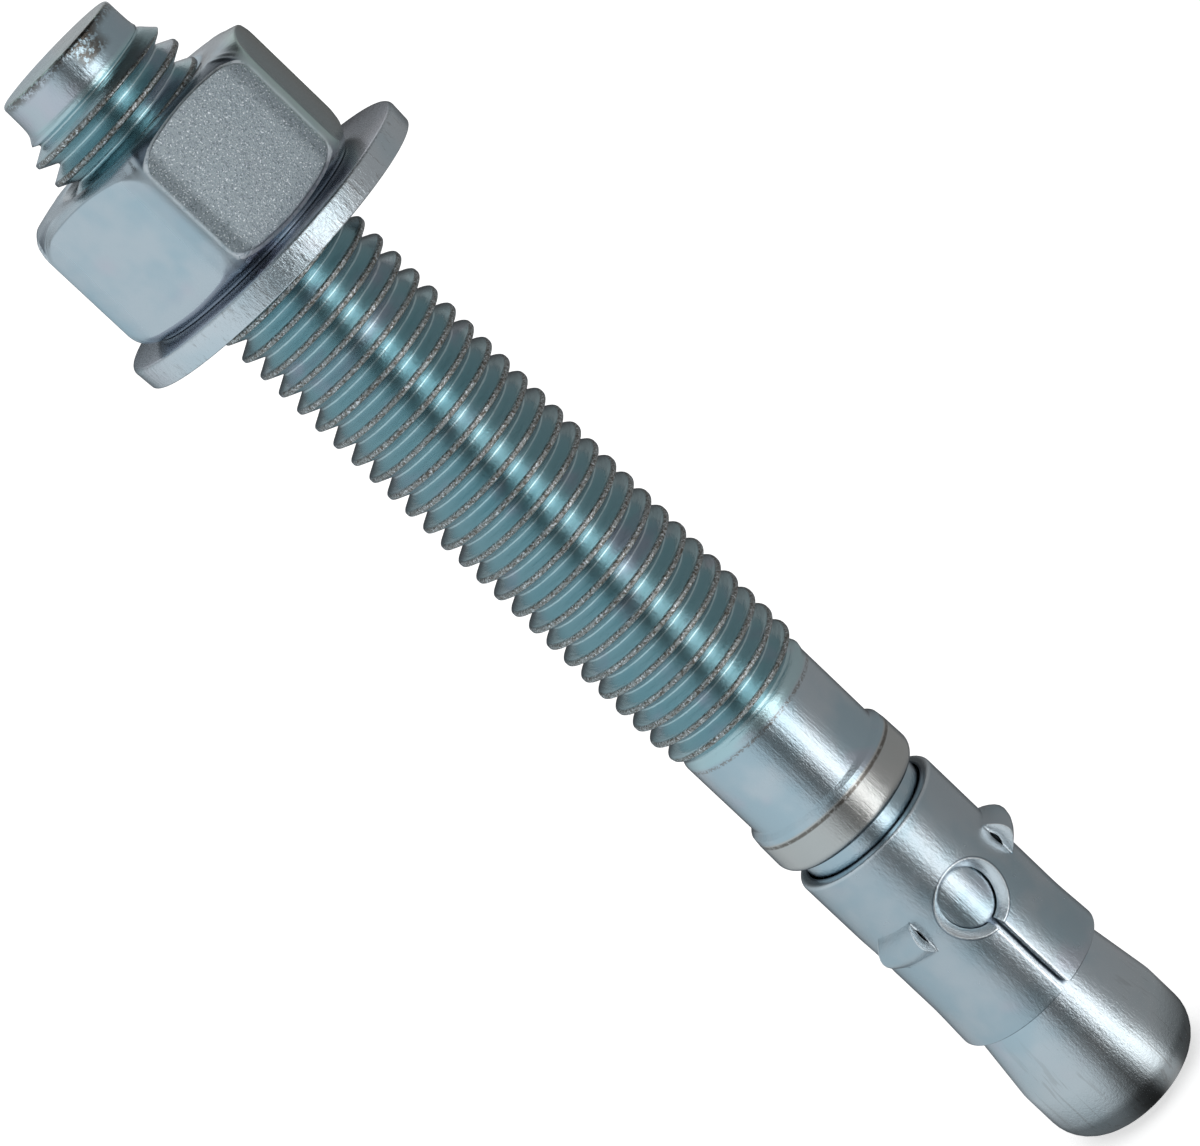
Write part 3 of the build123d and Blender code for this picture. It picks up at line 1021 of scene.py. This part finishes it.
washerLook = {
    "rimRadii": (washer["outerRadius"] - 0.5, washer["outerRadius"] - 0.2),
    "rimStain": (0.35, "bright"),
    "tearPattern": (1.0, 4.0, 0.75, (1.8, 1.8, 0.5)),
    "tearLimits": (0.55, 0.68),
    "tearStain": (0.45, "dull"),
    "tearRelief": 0.09,
    "topTintAndHighlight": (0.5, "pink"),
    "shadeRadii": (13.2, 15.0),
    "shadeStain": (0.4, "deepBlue"),
}


def washerFinish():
    # the sheared rim is masked by the distance from the washer's own axis
    finish = Finish("washerZinc", washerLook)
    look = finish.look
    shifted = finish.x - washerCentre[0]
    radius = (shifted * shifted + finish.y * finish.y) ** 0.5
    rim = clamped(radius, *look["rimRadii"])
    top = clamped(finish.up, *look["upwards"])
    tears = finish.pattern("tearPattern")
    finish.emboss(rim * tears, "tearRelief")
    finish.stainOrPaintedLight(rim, "rimStain")
    finish.stainOrPaintedLight(rim * clamped(tears, *look["tearLimits"]), "tearStain")
    finish.stainOrPaintedLight((1 - rim) * top, "topTintAndHighlight")
    # shade under the nut
    under = (1 - clamped(finish.radius, *look["shadeRadii"])) * top
    finish.stainOrPaintedLight(under, "shadeStain")
    return finish.finish()


bridgeEdge = radians(clip["bridgeHalfAngle"])
clipLook = {
    "wholeStain": (0.25, "sand"),
    "wholeRoughness": 0.08,
    "specklePattern": (1.0, 3.0, 0.65, (2.6, 2.6, 1.3)),
    "speckleRelief": 0.034,
    "bridgeBand": (clip["bridgeLow"] + 0.2, clip["bridgeHigh"] - 0.2, 0.1),
    "lancedBand": (bridgeEdge - 0.012, bridgeEdge + 0.02, 0.005),
    "lancedHighlight": (0.8, "bright"),
    "slotLimits": (0.62, 0.80),
    "slotHeights": (clip["holeHeight"] - 4.2, clip["holeHeight"] - 4.0),
    "slotPaintedLight": (0.7, "bright"),
    "ringLimits": (clip["holeRadius"] + 0.05, clip["holeRadius"] + 0.25),
    "ringHighlight": (0.75, "bright"),
    "outlineBand": (clip["holeRadius"] + 0.12, clip["holeRadius"] + 0.26, 0.05),
    "outlineShade": (0.55, "navy"),
    "topHeights": (clipTop - 0.45, clipTop - 0.1),
    "topRadii": (8.6, 8.9),
    "topTintAndHighlight": (0.5, "bright"),
    "lipHeights": (clipTop - 1.0, clipTop - 0.2),
    "lipRadii": (8.15, 8.4),
    "lipShade": (0.85, "navy"),
}


def clipFinish():
    # the painted highlights on the sheet's cut edges are masked by the distances to the slots, the holes
    # and the bridges' sides
    finish = Finish("clipZinc", clipLook)
    look = finish.look
    finish.roughness = finish.roughness + look["wholeRoughness"]
    finish.stainOrPaintedLight(1, "wholeStain")
    speckle = finish.pattern("specklePattern")
    finish.emboss(speckle, "speckleRelief")
    # the bridges' lanced edges get a painted highlight: the turn from the nearest bridge's middle is close
    # to half
    azimuth = maths("ARCTAN2", finish.y, finish.x)
    middle = radians(clip["slotAzimuth"] + 60 + clip["bridgeShift"])
    fromMiddle = maths("PINGPONG", azimuth - middle + 4 * pi, radians(60))
    lanced = band(fromMiddle, *look["lancedBand"]) * band(finish.z, *look["bridgeBand"])
    finish.stainOrPaintedLight(lanced, "lancedHighlight")
    # the slots' and holes' sheared edges get a painted highlight, with a dark outline of painted shade
    # round the holes
    for turn in clip["holeTurns"]:
        aside, ahead, fromHole = finish.besideSlot(turn)
        below = 1 - clamped(finish.z, *look["slotHeights"])
        sheared = (1 - clamped(aside, *look["slotLimits"])) * ahead * below
        ring = (1 - clamped(fromHole, *look["ringLimits"])) * ahead
        finish.stainOrPaintedLight(sheared, "slotPaintedLight")
        finish.stainOrPaintedLight(ring, "ringHighlight")
        finish.stainOrPaintedLight(band(fromHole, *look["outlineBand"]) * ahead, "outlineShade")
    # so does the top edge, above painted shade on the inner lip
    top = clamped(finish.z, *look["topHeights"]) * clamped(finish.radius, *look["topRadii"])
    finish.stainOrPaintedLight(top, "topTintAndHighlight")
    lip = (1 - clamped(finish.radius, *look["lipRadii"])) * clamped(finish.z, *look["lipHeights"])
    finish.stainOrPaintedLight(lip, "lipShade")
    return finish.finish()


for piece, body, node, slotName, makeFinish in (
    (studBody, "stud", "anchor_body", "stud_zinc", studFinish),
    (expansionClip, "clip", "expansion_clip", "clip_zinc", clipFinish),
    (nutBody, "nut", "hex_nut", "nut_zinc", nutFinish),
    (washerRing, "washer", "flat_washer", "washer_zinc", washerFinish),
):
    piece.data.materials.append(makeFinish())
    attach(piece, body)
    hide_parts(node)
print("finishes")


view = {
    "target": (-0.12, 0.0, 82.66),
    "distance": 425.7,
    "elevation": 14.8,
    "roll": 46.55,  # the stud leans to the upper left
    "lens": 124.83,
    "sensorWidth": 36.0,
}


def makeCamera():
    # the camera sits at target + back * distance; right and up are turned about back by the roll
    lift, roll = radians(view["elevation"]), radians(view["roll"])
    back = Vector((0, -cos(lift), sin(lift)))
    right, up = Vector((1, 0, 0)), Vector((0, sin(lift), cos(lift)))
    turnedRight = right * cos(roll) - up * sin(roll)
    turnedUp = right * sin(roll) + up * cos(roll)
    data = bpy.data.cameras.new("camera")
    data.lens, data.sensor_width = view["lens"], view["sensorWidth"]
    camera = newObject("camera", data)
    matrix = Matrix((turnedRight, turnedUp, back)).transposed().to_4x4()
    matrix.translation = (Vector(view["target"]) + back * view["distance"]) * mm
    camera.matrix_world = matrix
    bpy.context.scene.camera = camera


makeCamera()


studio = {
    "tentRadius": 90.0,
    "tentWall": 190.0,
    "tentTop": 300.0,
    "peakRadius": 0.5,
    "columns": 361,
    "floorRows": 16,
    "wallRows": 40,
    "roofRows": 16,
    "floorHeight": 0.3,
    "floorRadii": (6.8, 88.0),  # the tent's own floor, round the tip
    "wallFoot": 1.0,
    "roofFoot": 3.0,
    # (azimuth from the camera towards the left, level) round the wall
    "wall": [
        (-180, 0.08), (-168, 0.08), (-158, 0.16), (-140, 0.28), (-60, 0.32), (-46, 0.44), (-40, 0.7),
        (-35, 1.5), (-30, 1.95), (-22, 1.95), (-17, 1.4), (-12, 0.75), (-8, 0.32), (-4, 0.13),
        (3, 0.11), (10, 0.17), (18, 0.34), (28, 0.62), (38, 0.74), (66, 0.74), (116, 0.66),
        (150, 0.35), (163, 0.12), (171, 0.08), (180, 0.08),
    ],
    # the same at the top of the tent
    "roof": [
        (-180, 0.06), (-150, 0.05), (-50, 0.05), (0, 0.10), (40, 0.40), (90, 0.50), (165, 0.50),
        (174, 0.35), (180, 0.06),
    ],
    "roofBlend": (-5, 30),  # heights from the wall's top over which the roof's levels take over
    "backGlow": 0.62,  # level of a card high behind the stud
    "glowHeights": (145, 155),
    "glowTurns": (145, 165),
    "footShare": 0.25,  # light of the floor close to the tip, as a share of the wall's
    "footRadii": (12, 23),
    "coolSide": (0.90, 1.0, 1.06),
    "warmSide": (0.97, 1.0, 1.02),
    "sideTurns": (0, 30),  # azimuths over which the warm side becomes the cool one
    "floorSize": 3000,
    "floorGlow": 0.55,
    "floorGrey": (0.85, 0.85, 0.85, 1),
    "skyLight": 0.75,
    "white": (1, 1, 1, 1),
}


def tentLevels(azimuth, height):
    # the wall's light by azimuth, turning to the roof's above it, times the side's tint
    degrees = np.degrees(azimuth)
    wall = np.interp(degrees, *zip(*studio["wall"]))
    roof = np.interp(degrees, *zip(*studio["roof"]))
    blendStart, blendEnd = (studio["tentWall"] + rise for rise in studio["roofBlend"])
    glow = smoothStep(*studio["glowHeights"], height) * smoothStep(*studio["glowTurns"], np.abs(degrees))
    wall = wall + (studio["backGlow"] - wall) * glow
    level = wall + (roof - wall) * smoothStep(blendStart, blendEnd, height)
    side = smoothStep(*studio["sideTurns"], degrees)[..., None]
    tint = np.array(studio["warmSide"]) * (1 - side) + np.array(studio["coolSide"]) * side
    return level[..., None] * tint


def setSurface(tree, shader, kind="ShaderNodeOutputMaterial"):
    # the shader goes to the tree's output node
    addNode(tree, kind, {}, Surface=shader)


def makeTent():
    # a floor ring, a cylinder and a cone roof round the object; its inside lights the metal
    # like printed cards, with a colour at each point
    wallTop = studio["tentWall"]
    azimuth = np.linspace(-pi, pi, studio["columns"])
    floorRadii = np.linspace(*studio["floorRadii"], studio["floorRows"])
    wallHeights = np.linspace(studio["wallFoot"], wallTop, studio["wallRows"])
    roofHeights = np.linspace(wallTop + studio["roofFoot"], studio["tentTop"], studio["roofRows"])
    heights = np.concatenate([0 * floorRadii + studio["floorHeight"], wallHeights, roofHeights])
    rise = np.clip((heights - wallTop) / (studio["tentTop"] - wallTop), 0, 1)
    radius = studio["tentRadius"] * (1 - rise) + studio["peakRadius"]
    radius[: len(floorRadii)] = floorRadii
    azimuthGrid, heightGrid = np.meshgrid(azimuth, heights)
    x = -radius[:, None] * np.sin(azimuthGrid)
    y = -radius[:, None] * np.cos(azimuthGrid)
    points = np.stack([x, y, heightGrid], axis=-1)
    mesh = newMesh("lightTent", points, gridFaces(len(heights), len(azimuth)).tolist())
    # the floor darkens close to the tip
    share = studio["footShare"] + (1 - studio["footShare"]) * smoothStep(*studio["footRadii"], radius)
    share = np.where(heights < studio["wallFoot"], share, 1)[:, None, None]
    colours = np.ones((*points.shape[:2], 4), np.float32)
    colours[..., :3] = tentLevels(azimuthGrid, heightGrid) * share
    attribute = mesh.color_attributes.new("light", "FLOAT_COLOR", "POINT")
    attribute.data.foreach_set("color", colours.reshape(-1))
    tent = newObject("lightTent", mesh)
    material, tree = newMaterial("tentLight")
    colour = addNode(tree, "ShaderNodeAttribute", {"attribute_name": "light"}).out("Color")
    setSurface(tree, addNode(tree, "ShaderNodeEmission", {}, Color=colour, Strength=1.0))
    material.cycles.emission_sampling = "NONE"
    mesh.materials.append(material)
    tent.visible_camera = tent.visible_diffuse = tent.visible_shadow = False


def seenWhite(tree):
    # 1 for what the camera sees, straight on or in metal and glass: the least of the rays' sum and 1
    path = addNode(tree, "ShaderNodeLightPath", {})
    seen = path.out("Is Camera Ray") + path.out("Is Glossy Ray") + path.out("Is Transmission Ray")
    return maths("MINIMUM", seen, 1.0)


def makeFloor():
    # one large pale square through the origin: a white glow for what is seen, plus a matt surface
    size = studio["floorSize"]
    corners = np.array([(-size, -size, 0), (size, -size, 0), (size, size, 0), (-size, size, 0)])
    mesh = newMesh("floor", corners, [(0, 1, 2, 3)])
    floorPlane = newObject("floor", mesh)
    material, tree = newMaterial("paleFloor")
    strength = seenWhite(tree) * studio["floorGlow"]
    white = addNode(tree, "ShaderNodeEmission", {}, Color=studio["white"], Strength=strength)
    matt = addNode(tree, "ShaderNodeBsdfDiffuse", {}, Color=studio["floorGrey"])
    setSurface(tree, addNode(tree, "ShaderNodeAddShader", {}, white, matt))
    mesh.materials.append(material)


def makeWorld():
    # a white sky: full strength where it is seen, skyLight for every other ray
    world = bpy.data.worlds.new("world")
    bpy.context.scene.world = world
    world.use_nodes = True
    tree = world.node_tree
    tree.nodes.clear()
    strength = studio["skyLight"] + seenWhite(tree) * (1 - studio["skyLight"])
    sky = addNode(tree, "ShaderNodeBackground", {}, Color=studio["white"], Strength=strength)
    setSurface(tree, sky, "ShaderNodeOutputWorld")


makeTent()
makeFloor()
makeWorld()
print("studio")
